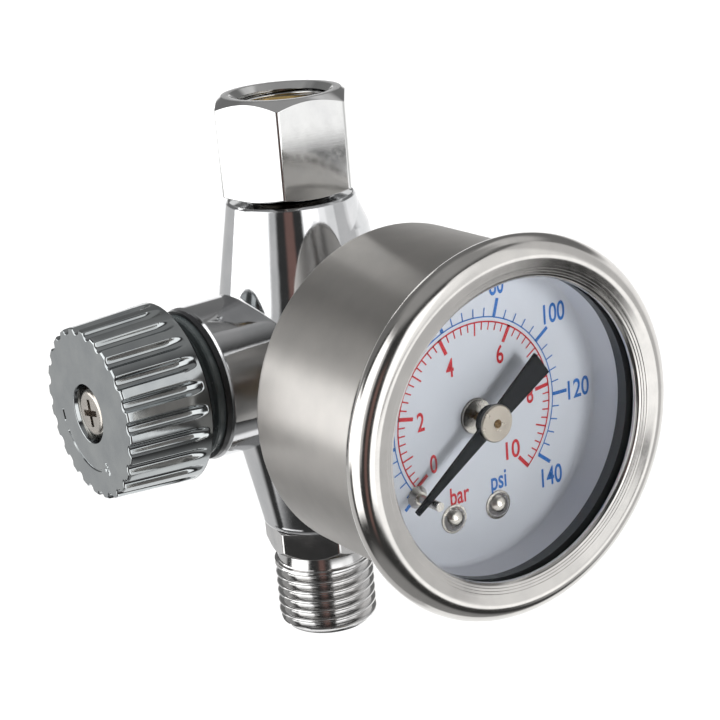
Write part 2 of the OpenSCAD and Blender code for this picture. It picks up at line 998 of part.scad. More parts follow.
module pointer() {
    tail_len = 9.2;
    tail_end_w = 3.2;
    boss_r = 1.9;
    boss_back = 37.6;
    color(black)
        gauge_axis()
            rotate(90 - needle_clock)
                difference() {
                    union() {
                        translate([0, 0, needle_back])
                            linear_extrude(height = needle_t)
                                polygon([[-tail_len, -tail_end_w / 2], [0, -needle_root_w / 2],
                                    [needle_len, -needle_tip_w / 2], [needle_len, needle_tip_w / 2],
                                    [0, needle_root_w / 2], [-tail_len, tail_end_w / 2]]);
                        rod(boss_r, boss_back, needle_back + needle_t);
                    }
                    rod(hub_bush_r + tap_clear, boss_back - over, hub_front);
                }
}

module pointer_hub() {
    disc_r = 2.2;
    edge = 0.12;
    bush_back = 36.9;
    color(steel)
        gauge_axis()
            difference() {
                union() {
                    rod(disc_r, needle_back + needle_t, hub_front - edge);
                    cone(disc_r, disc_r - edge, hub_front - edge, hub_front);
                    rod(hub_bush_r, bush_back, hub_front - edge);
                }
                rod(arbor_r + tap_clear, bush_back - over, hub_front + over);
            }
}

module pinion() {
    teeth_low = 30.5;
    teeth_high = 31.8;
    front_end = hub_front + 0.08;
    color(brass)
        gauge_axis() {
            rod(arbor_r, arbor_back, front_end);
            rotate(sector_dir + 180 / pinion_teeth)
                translate([0, 0, teeth_low])
                    linear_extrude(height = teeth_high - teeth_low)
                        union() {
                            gear_2d(pinion_teeth, 0, pinion_teeth - 1);
                            circle(r = pinion_pitch_r - dedendum);
                        }
        }
}

module sector_gear() {
    rim_in = sector_pitch_r - 1.4;
    rim_out = sector_pitch_r - dedendum;
    tooth_angle = 360 / sector_teeth;
    mesh_dir = sector_dir + 180;
    first = -9;
    last = 1;
    end_spare = 3;
    from = first * tooth_angle - end_spare;
    to = last * tooth_angle + end_spare;
    middle = (from + to) / 2;
    far = 12;
    eye_r = 1.3;
    arm_w = 1.2;
    arm_in = arm_w * 7;
    arm_len = rim_in + 0.2;
    arbor_front = plates_front - 0.1;
    color(brass)
        gauge_axis()
            translate([sector_x, sector_y, 0]) {
                rod(arbor_r, arbor_back, arbor_front);
                difference() {
                    translate([0, 0, sector_z])
                        linear_extrude(height = sector_t)
                            union() {
                                circle(r = eye_r);
                                rotate(mesh_dir) {
                                    gear_2d(sector_teeth, first, last);
                                    intersection() {
                                        difference() {
                                            circle(r = rim_out);
                                            circle(r = rim_in);
                                        }
                                        polygon([[0, 0], far * [cos(from), sin(from)],
                                            far * [cos(middle), sin(middle)],
                                            far * [cos(to), sin(to)]]);
                                    }
                                    for (a = [from + arm_in, to - arm_in])
                                        rotate(a)
                                            translate([0, -arm_w / 2])
                                                square([arm_len, arm_w]);
                                }
                                translate([0, -arm_w / 2])
                                    square([tail_len, arm_w]);
                                translate([tail_len, 0])
                                    circle(r = link_eye_r);
                            }
                    translate([tail_len, 0, 0])
                        rod(link_pin_r + gap, sector_z - over, sector_z + sector_t + over);
                }
            }
}

module link() {
    low = sector_z + sector_t + gap;
    t = 0.5;
    bar_w = 1.1;
    color(steel)
        gauge_axis()
            translate([sector_x + tail_len, sector_y, 0])
                rotate(link_dir) {
                    rod(link_pin_r, sector_z, low + t);
                    difference() {
                        union() {
                            rod(link_eye_r, low, low + t);
                            translate([link_len, 0, 0])
                                rod(link_eye_r, low, low + t);
                            translate([0, -bar_w / 2, low])
                                cube([link_len, bar_w, t]);
                        }
                        translate([link_len, 0, 0])
                            rod(link_pin_r + gap, low - over, low + t + over);
                    }
                }
}

module bourdon_tube() {
    wall = 0.25;
    tip_len = 1.2;
    tip_overlap = 0.05;
    lug_low = tube_z - 1.4;
    lug_t = 2.8;
    lug_len = 3;
    lug_r = 0.9;
    pin_top = sector_z + sector_t + 0.6;
    color(brass)
        gauge_axis() {
            rotate(tube_start)
                translate([0, 0, tube_z])
                    rotate_extrude(angle = tube_end - tube_start)
                        difference() {
                            tube_section(tube_half_t, tube_half_w);
                            tube_section(tube_half_t - wall, tube_half_w - wall);
                        }
            // closed tip with its lug and link pin
            rotate(tube_start)
                translate([tube_r - tube_half_t, -tip_len, tube_z - tube_half_w])
                    cube([2 * tube_half_t, tip_len + tip_overlap, 2 * tube_half_w]);
            rotate(tube_start)
                translate([tube_r - lug_len, -tip_len, lug_low])
                    cube([lug_len, tip_len, lug_t]);
            translate([tip_x, tip_y, 0]) {
                rod(lug_r, lug_low, lug_low + lug_t);
                rod(link_pin_r, lug_low, pin_top);
            }
        }
}

// flat-sided oval
module tube_section(half_t, half_w) {
    translate([tube_r, 0])
        union() {
            square([2 * half_t, 2 * (half_w - half_t)], center = true);
            for (s = [-1, 1])
                translate([0, s * (half_w - half_t)])
                    circle(r = half_t, $fn = 32);
        }
}

module hairspring() {
    low = 32.2;
    t = 0.35;
    strip = 0.09;
    inner_r = 0.6;
    outer_r = 3.7;
    turns = 4;
    end_dir = 90;
    steps = 96;
    radius = function (i) inner_r + (outer_r - inner_r) * i / steps;
    angle = function (i) 360 * turns * i / steps + end_dir;
    edge = function (i, side) (radius(i) + side * strip / 2) * [cos(angle(i)), sin(angle(i))];
    color(steel)
        gauge_axis()
            translate([0, 0, low]) {
                linear_extrude(height = t)
                    polygon(concat(
                        [for (i = [0 : steps]) edge(i, 1)],
                        [for (i = [steps : -1 : 0]) edge(i, -1)]));
                ring(inner_r + gap, arbor_r + tap_clear, 0, t);
            }
}

module plate_2d() {
    translate([plate_x, plate_y])
        circle(r = plate_r);
}

// arbor, screw and post holes through a plate between two heights
module plate_holes(low, high) {
    for (p = [[0, 0], [sector_x, sector_y]])
        translate(p)
            rod(arbor_hole_r, low - over, high + over);
    for (p = plate_screw_at)
        translate(p)
            rod(plate_screw_r + gap, low - over, high + over);
    for (p = post_at)
        translate(p)
            rod(post_end_r + tap_clear, low - over, high + over);
}

module plate_back() {
    color(brass)
        gauge_axis()
            difference() {
                translate([0, 0, block_top])
                    linear_extrude(height = plate_t)
                        plate_2d();
                plate_holes(block_top, block_top + plate_t);
            }
}

module plate_front() {
    low = plates_front - plate_t;
    bushing_top = 35.5;
    // peg that the hairspring's outer end rests against
    peg_at = [0, 3.75];
    peg_r = 0.35;
    peg_low = 32.65;
    color(steel)
        gauge_axis()
            difference() {
                union() {
                    translate([0, 0, low])
                        linear_extrude(height = plate_t)
                            plate_2d();
                    rod(bushing_r, low, bushing_top);
                    translate(peg_at)
                        rod(peg_r, peg_low, low + 2 * gap);
                }
                plate_holes(low, bushing_top);
            }
}

module movement_posts() {
    post_r = 0.9;
    low = block_top + plate_t;
    color(brass)
        gauge_axis()
            for (p = post_at)
                translate(p) {
                    rod(post_r, low, low + plate_gap);
                    rod(post_end_r, block_top + tap_clear, plates_front);
                }
}

module movement_screws() {
    head_r = 1.2;
    head_t = 0.5;
    slot_w = 0.35;
    slot_depth = 0.25;
    color(steel)
        gauge_axis()
            for (p = plate_screw_at)
                translate(p)
                    difference() {
                        union() {
                            rod(plate_screw_r, block_top - plate_screw_len, plates_front);
                            rod(head_r, plates_front, plates_front + head_t);
                        }
                        translate([0, 0, plates_front + head_t])
                            slot_cut(2 * head_r + over, slot_w, slot_depth);
                    }
}

module case_screws() {
    head_r = 1.45;
    head_t = 0.85;
    head_round = 0.3;
    slot_w = 0.4;
    slot_depth = 0.35;
    color(steel)
        gauge_axis()
            for (p = case_screw_at)
                translate([p[0], p[1], case_back])
                    difference() {
                        union() {
                            rod(case_screw_r, 0, case_screw_len);
                            mirror([0, 0, 1])
                                pan_head(head_r, head_t, head_round);
                        }
                        mirror([0, 0, 1])
                            translate([0, 0, head_t])
                                slot_cut(2 * head_r + over, slot_w, slot_depth);
                    }
}

body();
inlet_nipple();
outlet_nipple();
outlet_seal();
nut_ring();
swivel_nut();
valve_seat();
poppet();
poppet_seal();
poppet_spring();
valve_plug();
plug_seal();
piston();
piston_seal();
range_spring();
travel_nut();
spindle();
thrust_washer();
bonnet();
bonnet_seal();
knob();
knob_screw();
gauge_socket();
stem_seal();
gauge_case();
gauge_bezel();
window_gasket();
gauge_glass();
dial();
dial_screws();
stop_pin();
pointer();
pointer_hub();
pinion();
sector_gear();
link();
bourdon_tube();
hairspring();
plate_back();
plate_front();
movement_posts();
movement_screws();
case_screws();
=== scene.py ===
import math

import bmesh
import bpy
import numpy as np
from mathutils import Matrix, Vector


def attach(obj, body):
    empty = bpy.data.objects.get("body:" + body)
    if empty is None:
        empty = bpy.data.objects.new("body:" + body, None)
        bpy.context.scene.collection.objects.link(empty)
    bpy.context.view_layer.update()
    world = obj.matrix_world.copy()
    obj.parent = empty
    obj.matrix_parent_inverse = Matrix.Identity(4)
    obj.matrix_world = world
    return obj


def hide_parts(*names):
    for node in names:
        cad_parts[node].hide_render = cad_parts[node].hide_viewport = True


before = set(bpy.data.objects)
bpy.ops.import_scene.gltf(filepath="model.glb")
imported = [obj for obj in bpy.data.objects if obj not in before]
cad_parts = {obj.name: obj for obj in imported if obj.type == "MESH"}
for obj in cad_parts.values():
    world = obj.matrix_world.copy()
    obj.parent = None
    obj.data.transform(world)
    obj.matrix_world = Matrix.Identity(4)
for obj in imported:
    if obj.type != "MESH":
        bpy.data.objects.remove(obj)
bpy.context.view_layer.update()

# Everything below is in millimetres until a mesh is made. The flow axis is Z, the knob looks along -X
# and the gauge along -Y; "a, b, h" are local coordinates with h along the piece's own axis.

MM = 0.001
AXIS_H = 37.5
SCENE = bpy.context.scene

# ---------------------------------------------------------------- mesh helpers


def on_flow(a, b, h):
    return a, b, h


def on_knob(a, b, h):
    return -h, b, a + AXIS_H


def on_gauge(a, b, h):
    return a, -h, b + AXIS_H


def add_mesh(name, verts, faces, body, slot, materials, smooth=True, sharp_deg=35):
    """A new piece from points in millimetres, riding on a body."""
    mesh = bpy.data.meshes.new(name)
    mesh.from_pydata((np.asarray(verts) * MM).tolist(), [], faces)
    piece = bpy.data.objects.new(name, mesh)
    SCENE.collection.objects.link(piece)
    for m in materials:
        mesh.materials.append(m)
    bm = bmesh.new()
    bm.from_mesh(mesh)
    bmesh.ops.remove_doubles(bm, verts=bm.verts, dist=1e-7)
    bmesh.ops.recalc_face_normals(bm, faces=bm.faces)
    limit = math.radians(sharp_deg)
    for f in bm.faces:
        f.smooth = smooth
    for e in bm.edges:
        if len(e.link_faces) == 2 and e.calc_face_angle(0) > limit:
            e.smooth = False
    bm.to_mesh(mesh)
    bm.free()
    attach(piece, body)
    return piece


def skin(place, rows, closed=True):
    """Points and quads of a skin: each row is (radius, height) per angle, rows may close into a ring."""
    count = max(np.size(r) for r, _, _ in rows)
    points = []
    for r, h, angle in rows:
        r, h, angle = (np.broadcast_to(v, count) for v in (r, h, angle))
        a, b, c = place(r * np.cos(angle), r * np.sin(angle), h)
        points.append(np.stack(np.broadcast_arrays(a, b, c), axis=1))
    faces = []
    total = len(rows)
    for i in range(total if closed else total - 1):
        k = (i + 1) % total
        for j in range(count):
            n = (j + 1) % count
            faces.append((i * count + j, i * count + n, k * count + n, k * count + j))
    return np.concatenate(points), faces


def soften(path, radii, closed=True, steps=4):
    """Rounds the corners of a path of (radius, height) points; each may be a number or one per angle."""
    size = max(np.size(v) for p in path for v in p)
    pts = [np.stack([np.broadcast_to(np.asarray(v, float), size) for v in p]) for p in path]
    out = []
    total = len(pts)
    for i, p in enumerate(pts):
        ends = not closed and i in (0, total - 1)
        if ends or radii[i] == 0:
            out.append(p)
            continue
        before, after = pts[i - 1] - p, pts[(i + 1) % total] - p
        len_b, len_a = np.hypot(*before) + 1e-9, np.hypot(*after) + 1e-9
        ub, ua = before / len_b, after / len_a
        cosine = np.clip((ub * ua).sum(axis=0), -0.9999, 0.9999)
        reach = radii[i] / np.tan(np.arccos(cosine) / 2)
        reach = np.minimum(reach, 0.45 * np.minimum(len_b, len_a))
        start, end = p + ub * reach, p + ua * reach
        for s in np.linspace(0, 1, steps + 1):
            out.append((1 - s) ** 2 * start + 2 * s * (1 - s) * p + s * s * end)
    return [(p[0], p[1]) for p in out]


def turned(name, place, path, radii, body, slot, materials, segments=192, steps=4, closed=True, **more):
    """A lathe-turned piece from a closed (radius, height) outline with rounded corners."""
    angle = np.linspace(0, 2 * math.pi, segments, endpoint=False)
    rows = [(np.full(segments, r[0]), np.full(segments, h[0]), angle)
            for r, h in soften(path, radii, closed, steps)]
    verts, faces = skin(place, rows, closed)
    return add_mesh(name, verts, faces, body, slot, materials, **more)


def hexagon(angle, flats, turn, round_r):
    """Polar radius of a hexagon with rounded corners."""
    half = flats / 2
    off_flat = np.mod(angle - turn, math.pi / 3) - math.pi / 6
    radius = half / np.cos(off_flat)
    off_corner = math.pi / 6 - np.abs(off_flat)
    centre = (half - round_r) / math.cos(math.pi / 6)
    limit = math.atan2(round_r / 2, centre + round_r * math.cos(math.pi / 6))
    rounded = centre * np.cos(off_corner) + np.sqrt(
        np.maximum(round_r ** 2 - (centre * np.sin(off_corner)) ** 2, 0))
    return np.where(off_corner < limit, rounded, radius)


def hexagon_angles(turn, step_deg=1.5, corner_deg=3.0, corner_steps=9):
    """Angles round a hexagon, close together at its corners."""
    angles = []
    for k in range(6):
        corner = math.degrees(turn) + 60 * k
        angles += list(corner + np.linspace(-corner_deg, corner_deg, corner_steps))
        angles += list(np.arange(corner + corner_deg + step_deg, corner + 60 - corner_deg, step_deg))
    return np.radians(np.array(angles))


def ridge(phase):
    """Height, 0 to 1, of a 55-degree thread's rounded outline over one turn."""
    t = np.abs(np.mod(phase, 1.0) - 0.5) * 2
    return 0.5 - 0.5 * np.cos(math.pi * np.clip((t - 0.1) / 0.8, 0, 1))


# ---------------------------------------------------------------- materials


def link(nt, out, into):
    nt.links.new(out, into)


def feeding(nt, socket):
    """The output that is linked into a socket."""
    return next(wire.from_socket for wire in nt.links if wire.to_socket == socket)


def math_node(nt, op, a, b=None):
    n = nt.nodes.new("ShaderNodeMath")
    n.operation = op
    for i, v in enumerate((a, b)):
        if isinstance(v, (int, float)):
            n.inputs[i].default_value = v
        elif v is not None:
            link(nt, v, n.inputs[i])
    return n.outputs[0]


def noise(nt, vector, scale, detail=3.0, rough=0.55):
    n = nt.nodes.new("ShaderNodeTexNoise")
    n.inputs["Scale"].default_value = scale
    n.inputs["Detail"].default_value = detail
    n.inputs["Roughness"].default_value = rough
    link(nt, vector, n.inputs["Vector"])
    return n.outputs["Fac"]


def mapped(nt, value, low, high, to_low, to_high):
    n = nt.nodes.new("ShaderNodeMapRange")
    n.inputs["From Min"].default_value = low
    n.inputs["From Max"].default_value = high
    n.inputs["To Min"].default_value = to_low
    n.inputs["To Max"].default_value = to_high
    link(nt, value, n.inputs["Value"])
    return n.outputs["Result"]


def smooth(nt, value, low, high):
    """0 to 1 over a range, eased at both ends; the range may run downwards."""
    n = nt.nodes.new("ShaderNodeMapRange")
    n.interpolation_type = "SMOOTHSTEP"
    n.inputs["From Min"].default_value = low
    n.inputs["From Max"].default_value = high
    link(nt, value, n.inputs["Value"])
    return n.outputs["Result"]


def blend_colour(nt, fac, dark, light):
    n = nt.nodes.new("ShaderNodeMix")
    n.data_type = "RGBA"
    n.inputs["A"].default_value = (*dark, 1)
    n.inputs["B"].default_value = (*light, 1)
    link(nt, fac, n.inputs["Factor"])
    return n.outputs["Result"]


def coordinates(nt, centre=(0, 0, 0), stretch=(1, 1, 1)):
    """Object coordinates about a point in millimetres, stretched along each axis."""
    tc = nt.nodes.new("ShaderNodeTexCoord")
    m = nt.nodes.new("ShaderNodeMapping")
    m.vector_type = "POINT"
    for i in range(3):
        m.inputs["Location"].default_value[i] = -centre[i] * MM * stretch[i]
        m.inputs["Scale"].default_value[i] = stretch[i]
    link(nt, tc.outputs["Object"], m.inputs["Vector"])
    return m.outputs["Vector"]


def masked(nt, fac, near, far):
    """One colour output blended into another."""
    n = nt.nodes.new("ShaderNodeMix")
    n.data_type = "RGBA"
    link(nt, near, n.inputs["A"])
    n.inputs["B"].default_value = (*far, 1)
    link(nt, fac, n.inputs["Factor"])
    return n.outputs["Result"]


def bump(nt, height, strength, distance_mm, normal=None):
    n = nt.nodes.new("ShaderNodeBump")
    n.inputs["Strength"].default_value = strength
    n.inputs["Distance"].default_value = distance_mm * MM
    link(nt, height, n.inputs["Height"])
    if normal is not None:
        link(nt, normal, n.inputs["Normal"])
    return n.outputs["Normal"]


def new_material(name):
    m = bpy.data.materials.new(name)
    m.use_nodes = True
    return m, m.node_tree, m.node_tree.nodes["Principled BSDF"]


def metal(name, dark, light, rough, waves=None, grain=None, lines=None, edge_mm=0.0, aniso=0.0):
    """Plated or bare metal, its colour and roughness each varying between two values.

    waves, grain: (size mm, depth mm); lines: (spacing mm, depth mm, axis they are spaced along);
    edge_mm rounds the look of edges; aniso spreads the gloss of a piece brushed round the gauge axis.
    """
    m, nt, bsdf = new_material(name)
    bsdf.inputs["Metallic"].default_value = 1.0
    vec = coordinates(nt)
    patch = noise(nt, vec, 260, 4)
    link(nt, blend_colour(nt, mapped(nt, patch, 0.3, 0.7, 0, 1), dark, light), bsdf.inputs["Base Color"])
    smear = noise(nt, vec, 700, 5, 0.65)
    link(nt, mapped(nt, smear, 0.3, 0.7, rough[0], rough[1]), bsdf.inputs["Roughness"])
    normal = None
    if edge_mm:
        bevel = nt.nodes.new("ShaderNodeBevel")
        bevel.samples = 6
        bevel.inputs["Radius"].default_value = edge_mm * MM
        normal = bevel.outputs["Normal"]
    if waves:
        normal = bump(nt, noise(nt, vec, 1000 / waves[0], 1.5), 1.0, waves[1], normal)
    if grain:
        normal = bump(nt, noise(nt, vec, 1000 / grain[0], 3, 0.7), 1.0, grain[1], normal)
    if lines:
        stretch = [0.02, 0.02, 0.02]
        stretch[lines[2]] = 1.0
        streak = noise(nt, coordinates(nt, stretch=tuple(stretch)), 1000 / lines[0], 4, 0.75)
        normal = bump(nt, streak, 1.0, lines[1], normal)
    if normal is not None:
        link(nt, normal, bsdf.inputs["Normal"])
    if aniso:
        tangent = nt.nodes.new("ShaderNodeTangent")
        tangent.direction_type = "RADIAL"
        tangent.axis = "Y"
        link(nt, tangent.outputs["Tangent"], bsdf.inputs["Tangent"])
        bsdf.inputs["Anisotropic"].default_value = aniso
        # a quarter turn, so that the gloss spreads across the brushing lines, along the case
        bsdf.inputs["Anisotropic Rotation"].default_value = 0.25
    return m


def coated(name, dark, light, rough, grain=(0.4, 0.004), spec=0.5, patch_scale=220):
    """Paint, rubber or plastic, its colour and roughness each varying between two values."""
    m, nt, bsdf = new_material(name)
    vec = coordinates(nt)
    link(nt, blend_colour(nt, noise(nt, vec, patch_scale, 4), dark, light), bsdf.inputs["Base Color"])
    link(nt, mapped(nt, noise(nt, vec, 900, 4, 0.6), 0.3, 0.7, rough[0], rough[1]),
         bsdf.inputs["Roughness"])
    link(nt, bump(nt, noise(nt, vec, 1000 / grain[0], 3, 0.7), 1.0, grain[1]), bsdf.inputs["Normal"])
    bsdf.inputs["Specular IOR Level"].default_value = spec
    return m


def window_glass(name):
    """Clear glass that lets lamps through to the dial."""
    m, nt, bsdf = new_material(name)
    bsdf.inputs["Base Color"].default_value = (0.97, 0.985, 0.99, 1)
    bsdf.inputs["Transmission Weight"].default_value = 1.0
    # a low index, so that the thick window shifts the dial no more than a thin one would
    bsdf.inputs["IOR"].default_value = 1.12
    vec = coordinates(nt)
    link(nt, mapped(nt, noise(nt, vec, 400, 4, 0.6), 0.45, 0.75, 0.0, 0.02), bsdf.inputs["Roughness"])
    path = nt.nodes.new("ShaderNodeLightPath")
    clear = nt.nodes.new("ShaderNodeBsdfTransparent")
    clear.inputs["Color"].default_value = (0.95, 0.97, 0.98, 1)
    mix = nt.nodes.new("ShaderNodeMixShader")
    through = math_node(nt, "MAXIMUM", path.outputs["Is Shadow Ray"], path.outputs["Is Diffuse Ray"])
    link(nt, through, mix.inputs["Fac"])
    link(nt, bsdf.outputs["BSDF"], mix.inputs[1])
    link(nt, clear.outputs["BSDF"], mix.inputs[2])
    link(nt, mix.outputs["Shader"], nt.nodes["Material Output"].inputs["Surface"])
    return m


def darkened(m, axis, clean_at, dark_at, dark):
    """Blends a material's colour into a dark one along an axis, between two places in millimetres."""
    nt = m.node_tree
    colour = nt.nodes["Principled BSDF"].inputs["Base Color"]
    split = nt.nodes.new("ShaderNodeSeparateXYZ")
    link(nt, coordinates(nt), split.inputs["Vector"])
    clean = feeding(nt, colour)
    fac = smooth(nt, split.outputs[axis], clean_at * MM, dark_at * MM)
    link(nt, masked(nt, fac, clean, dark), colour)
    return fac


def faced_hub(name, black_behind):
    """A machined face on a black boss; black further back than a height on the gauge axis."""
    m = metal(name, (0.40, 0.355, 0.305), (0.47, 0.42, 0.36), (0.26, 0.4),
              grain=(0.15, 0.002), lines=(0.05, 0.001, X_AXIS), edge_mm=0.05)
    edge = 0.03
    paint = darkened(m, "Y", -(black_behind + edge), -(black_behind - edge), (0.006, 0.006, 0.007))
    nt = m.node_tree
    link(nt, mapped(nt, paint, 0, 1, 1, 0), nt.nodes["Principled BSDF"].inputs["Metallic"])
    return m


def stained_brass(name, stain_top):
    """Brass that is dark with sealant below a height in millimetres."""
    m = metal(name, (0.66, 0.46, 0.18), (0.78, 0.58, 0.27), (0.14, 0.28), grain=(0.2, 0.002),
              lines=(0.1, 0.0015, Z_AXIS), edge_mm=0.08)
    edge = 0.5
    darkened(m, "Z", stain_top + edge, stain_top - edge, (0.02, 0.018, 0.015))
    return m


X_AXIS, Y_AXIS, Z_AXIS = 0, 1, 2
# heights of the pointer hub's face, on the gauge axis, and of the sealant on the outlet nipple
HUB_FRONT = 39.2
HUB_FACE_DEPTH = 0.3
SEALANT_TOP = 62.0
CHROME = metal("chrome_casting", (0.60, 0.61, 0.62), (0.68, 0.68, 0.69), (0.04, 0.10),
               waves=(4.0, 0.012), grain=(0.7, 0.0022), edge_mm=0.25)
NUT_CHROME = metal("chrome_nut", (0.66, 0.66, 0.66), (0.74, 0.74, 0.73), (0.05, 0.14),
                   waves=(3.0, 0.006), grain=(0.16, 0.0012), lines=(0.12, 0.001, Z_AXIS))
THREAD_CHROME = metal("chrome_thread", (0.55, 0.55, 0.55), (0.68, 0.67, 0.66), (0.08, 0.2),
                      waves=(2.0, 0.004), grain=(0.2, 0.002))
KNOB_CHROME = metal("chrome_knob", (0.36, 0.38, 0.39), (0.44, 0.46, 0.46), (0.07, 0.15),
                    waves=(3.0, 0.006), grain=(0.3, 0.0008))
CAN_STEEL = metal("brushed_can", (0.50, 0.485, 0.465), (0.55, 0.53, 0.505), (0.34, 0.38),
                  lines=(0.22, 0.0024, Y_AXIS), aniso=0.85)
BEZEL_STEEL = metal("polished_bezel", (0.60, 0.585, 0.565), (0.68, 0.66, 0.635), (0.11, 0.18),
                    waves=(5.0, 0.005), lines=(0.12, 0.0008, Y_AXIS))
SMALL_STEEL = metal("small_steel", (0.50, 0.47, 0.43), (0.62, 0.58, 0.53), (0.16, 0.32),
                    grain=(0.12, 0.003), edge_mm=0.06)
HUB_STEEL = faced_hub("hub_steel", HUB_FRONT - HUB_FACE_DEPTH)
WIRE_STEEL = metal("wire_steel", (0.32, 0.32, 0.33), (0.45, 0.45, 0.46), (0.2, 0.35), grain=(0.2, 0.002))
BRASS = metal("brass", (0.66, 0.46, 0.18), (0.78, 0.58, 0.27), (0.14, 0.28), grain=(0.2, 0.002),
              lines=(0.1, 0.0015, Z_AXIS), edge_mm=0.08)
NIPPLE_BRASS = stained_brass("nipple_brass", SEALANT_TOP)
ARBOR_BRASS = metal("arbor_brass", (0.10, 0.06, 0.03), (0.19, 0.12, 0.055), (0.2, 0.35), grain=(0.1, 0.002))
RUBBER = coated("black_rubber", (0.006, 0.006, 0.007), (0.018, 0.018, 0.02), (0.3, 0.5))
BLACK_METAL = coated("black_metal", (0.045, 0.054, 0.055), (0.075, 0.088, 0.090), (0.16, 0.28), spec=1.0)
NEEDLE_BLACK = coated("needle_black", (0.004, 0.004, 0.005), (0.010, 0.011, 0.013), (0.5, 0.65),
                      grain=(0.15, 0.002), spec=0.15)
DIAL_WHITE = coated("dial_white", (0.66, 0.66, 0.70), (0.70, 0.70, 0.74), (0.4, 0.5),
                    grain=(0.8, 0.0015), spec=0.25)
INK_RED = coated("ink_red", (0.50, 0.008, 0.016), (0.60, 0.02, 0.03), (0.35, 0.5), grain=(0.2, 0.001))
INK_BLUE = coated("ink_blue", (0.02, 0.12, 0.42), (0.035, 0.17, 0.5), (0.35, 0.5), grain=(0.2, 0.001))
GASKET = coated("gasket", (0.02, 0.022, 0.024), (0.045, 0.05, 0.052), (0.3, 0.5), grain=(0.3, 0.003))
FIBRE = coated("red_fibre", (0.25, 0.03, 0.02), (0.4, 0.06, 0.04), (0.6, 0.8), grain=(0.25, 0.02))
NYLON = coated("white_nylon", (0.62, 0.62, 0.58), (0.7, 0.7, 0.66), (0.35, 0.5))
GLASS = window_glass("window_glass")

NODE_MATERIALS = {
    CHROME: ["body"],
    THREAD_CHROME: ["inlet_nipple", "valve_plug"],
    NUT_CHROME: ["swivel_nut"],
    KNOB_CHROME: ["knob"],
    CAN_STEEL: ["gauge_case"],
    BEZEL_STEEL: ["gauge_bezel"],
    SMALL_STEEL: ["spindle", "knob_screw", "plate_front", "dial_screws", "stop_pin", "link",
                  "movement_screws", "case_screws"],
    HUB_STEEL: ["pointer_hub"],
    WIRE_STEEL: ["nut_ring", "poppet_spring", "range_spring", "hairspring"],
    NIPPLE_BRASS: ["outlet_nipple"],
    BRASS: ["valve_seat", "poppet", "piston", "travel_nut", "gauge_socket", "sector_gear",
            "bourdon_tube", "plate_back", "movement_posts"],
    ARBOR_BRASS: ["pinion"],
    RUBBER: ["outlet_seal", "poppet_seal", "plug_seal", "piston_seal", "bonnet_seal"],
    BLACK_METAL: ["bonnet"],
    NEEDLE_BLACK: ["pointer"],
    DIAL_WHITE: ["dial"],
    GASKET: ["window_gasket"],
    FIBRE: ["stem_seal"],
    NYLON: ["thrust_washer"],
    GLASS: ["gauge_glass"],
}
for material, names in NODE_MATERIALS.items():
    for name in names:
        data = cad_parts[name].data
        data.materials.clear()
        data.materials.append(material)

# ---------------------------------------------------------------- flow line

THREAD_PITCH = 25.4 / 19
THREAD_DEPTH = 0.856


def male_thread(r, h, angle, low, high):
    """Wall radius of the inlet thread, fading out towards its ends."""
    fade_in, fade_out = 0.5, 0.7
    fade = np.clip((h - low) / fade_in, 0, 1) * np.clip((high - h) / fade_out, 0, 1)
    cut = 1 - ridge(h / THREAD_PITCH - angle / (2 * math.pi))
    return r - THREAD_DEPTH * cut * fade


def build_inlet():
    turn = math.radians(14.8)
    angle = hexagon_angles(turn)
    outer_r, end_r, neck_r, bore_r, mouth_r = 6.58, 5.75, 6.15, 3.0, 4.4
    hex_low, hex_top, shank_top = 11.0, 14.6, 22.0
    hex_flats, hex_round, hex_low_r, shank_r = 13.3, 0.45, 6.6, 5.5
    thread_low, thread_top, thread_rows = 0.25, 9.25, 150
    # the cut starts below the end, so that the thread is at full depth where the chamfer crosses it
    cut_low, chamfer_slope = -1.0, 1.1
    corner = hexagon(angle, hex_flats, turn, hex_round)
    rows = []
    for h in np.linspace(thread_low, thread_top, thread_rows):
        wall = male_thread(outer_r, h, angle, cut_low, thread_top)
        chamfer = end_r + (h - thread_low) * chamfer_slope
        rows.append((np.minimum(wall, chamfer), h, angle))
    neck = soften([(outer_r * 0.945, thread_top), (neck_r, thread_top + 0.15), (neck_r, hex_low),
                   (hex_low_r + 0 * angle, hex_low), (corner, hex_low + corner - hex_low_r),
                   (corner, hex_top), (shank_r, hex_top), (shank_r, shank_top), (bore_r, shank_top)],
                  [0, 0.1, 0.25, 0.1, 0.15, 0.05, 0, 0, 0], closed=False)
    rows += [(r, h, angle) for r, h in neck]
    inner = soften([(bore_r, shank_top - 0.5), (bore_r, 1.4), (mouth_r, 0.0), (end_r - 0.1, 0.0),
                    (end_r, thread_low)], [0, 0.1, 0.1, 0.1, 0], closed=False)
    rows += [(r, h, angle) for r, h in inner[:-1]]
    verts, faces = skin(on_flow, rows)
    piece = add_mesh("inlet_nipple_threaded", verts, faces, "housing", "chrome_turned", [THREAD_CHROME])
    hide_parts("inlet_nipple")


